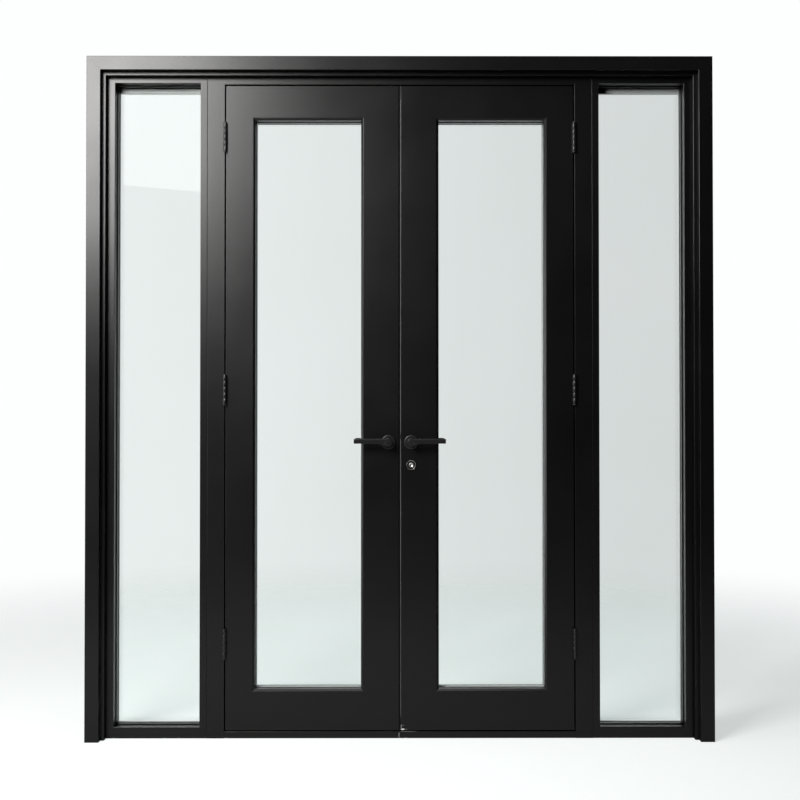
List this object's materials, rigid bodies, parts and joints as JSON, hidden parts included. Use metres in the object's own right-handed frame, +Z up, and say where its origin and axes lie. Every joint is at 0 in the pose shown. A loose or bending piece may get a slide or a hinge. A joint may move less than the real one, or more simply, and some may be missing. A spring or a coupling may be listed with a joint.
{
  "type": "french doors with sidelites",
  "caption": "Steel-framed glazed french doors with a fixed glazed sidelite on each side, in a mitred casing, with lever handles, a lock, hinges and a threshold.",
  "frame": {"origin": "on the underside of the threshold, midway across the doors and midway through the frame's depth", "axes": "+X to the right seen from the front, +Y towards the back, +Z up; the front with the casing faces -Y"},
  "size_m": [2.2, 0.17, 2.403],
  "materials": {
    "black_coat": "satin black powder coat",
    "black_hardware": "satin black coated hardware",
    "glass": "clear double glazing with a faint green tint",
    "rubber_seal": "matte black rubber",
    "spacer": "matte pale grey",
    "nickel": "satin nickel",
    "zinc": "zinc plated, dull"
  },
  "bodies": {
    "frame": {"casing_head": "black_coat", "casing_left": "black_coat", "casing_right": "black_coat", "subframe_head": "black_coat", "subframe_left": "black_coat", "subframe_right": "black_coat", "sidelite_outer_jamb_left": "black_coat", "sidelite_outer_jamb_right": "black_coat", "sidelite_inner_jamb_left": "black_coat", "sidelite_inner_jamb_right": "black_coat", "sidelite_rails": "black_coat", "sidelite_glass_left": "glass", "sidelite_glass_right": "glass", "sidelite_spacers": "spacer", "sidelite_beads": "black_coat", "sidelite_gaskets": "rubber_seal", "door_jamb_left": "black_coat", "door_jamb_right": "black_coat", "door_head": "black_coat", "threshold": "black_coat", "frame_seal": "rubber_seal", "frame_hinges_left": "black_hardware", "frame_hinges_right": "black_hardware", "bolt_keepers": "zinc"},
    "left_leaf": {"left_hinge_stile": "black_coat", "left_lock_stile": "black_coat", "left_top_rail": "black_coat", "left_bottom_rail": "black_coat", "left_glass": "glass", "left_spacer": "spacer", "left_beads": "black_coat", "left_gaskets": "rubber_seal", "left_leaf_hinges": "black_hardware", "left_strike_plate": "nickel", "left_roses": "black_hardware", "left_gearbox": "zinc", "left_meeting_seal": "rubber_seal"},
    "right_leaf": {"right_hinge_stile": "black_coat", "right_lock_stile": "black_coat", "right_top_rail": "black_coat", "right_bottom_rail": "black_coat", "right_glass": "glass", "right_spacer": "spacer", "right_beads": "black_coat", "right_gaskets": "rubber_seal", "right_leaf_hinges": "black_hardware", "right_lock_plate": "nickel", "right_roses": "black_hardware", "right_lock_case": "zinc", "right_key_cylinder": "nickel"},
    "left_lever_set": {"left_levers": "black_hardware", "left_spindle": "zinc"},
    "right_lever_set": {"right_levers": "black_hardware", "right_spindle": "zinc"},
    "latch": {"latch_bolt": "nickel"},
    "deadbolt": {"dead_bolt": "nickel"},
    "key_set": {"key_plug": "nickel", "thumb_turn": "nickel"},
    "upper_rod": {"top_rod": "zinc"},
    "lower_rod": {"bottom_rod": "zinc"}
  },
  "joints": [
    {"name": "left_leaf_swing", "type": "hinge", "parent": "frame", "child": "left_leaf", "pos_m": [-0.619, -0.067, 1.17], "axis": [0, 0, -1], "range_deg": [0, 110]},
    {"name": "right_leaf_swing", "type": "hinge", "parent": "frame", "child": "right_leaf", "pos_m": [0.619, -0.067, 1.17], "axis": [0, 0, 1], "range_deg": [0, 110]},
    {"name": "left_lever_turn", "type": "hinge", "parent": "left_leaf", "child": "left_lever_set", "pos_m": [-0.0405, -0.028, 1.045], "axis": [0, -1, 0], "range_deg": [0, 40], "stiffness_Nm_per_rad": 1.5, "springref_deg": -34.38},
    {"name": "right_lever_turn", "type": "hinge", "parent": "right_leaf", "child": "right_lever_set", "pos_m": [0.0405, -0.028, 1.045], "axis": [0, 1, 0], "range_deg": [0, 40], "stiffness_Nm_per_rad": 1.5, "springref_deg": -34.38},
    {"name": "latch_slide", "type": "slide", "parent": "right_leaf", "child": "latch", "axis": [1, 0, 0], "range_m": [0, 0.0121]},
    {"name": "key_turn", "type": "hinge", "parent": "right_leaf", "child": "key_set", "pos_m": [0.0405, -0.028, 0.964], "axis": [0, 1, 0], "range_deg": [0, 180]},
    {"name": "deadbolt_slide", "type": "slide", "parent": "right_leaf", "child": "deadbolt", "axis": [-1, 0, 0], "range_m": [0, 0.0201]},
    {"name": "upper_rod_slide", "type": "slide", "parent": "left_leaf", "child": "upper_rod", "axis": [0, 0, -1], "range_m": [0, 0.0161]},
    {"name": "lower_rod_slide", "type": "slide", "parent": "left_leaf", "child": "lower_rod", "axis": [0, 0, 1], "range_m": [0, 0.0161]}
  ],
  "couplings": [
    {"joint": "latch_slide", "follows": "right_lever_turn", "m_per_rad": 0.017189},
    {"joint": "deadbolt_slide", "follows": "key_turn", "m_per_rad": 0.006366},
    {"joint": "upper_rod_slide", "follows": "left_lever_turn", "m_per_rad": 0.022918},
    {"joint": "lower_rod_slide", "follows": "left_lever_turn", "m_per_rad": 0.022918}
  ]
}
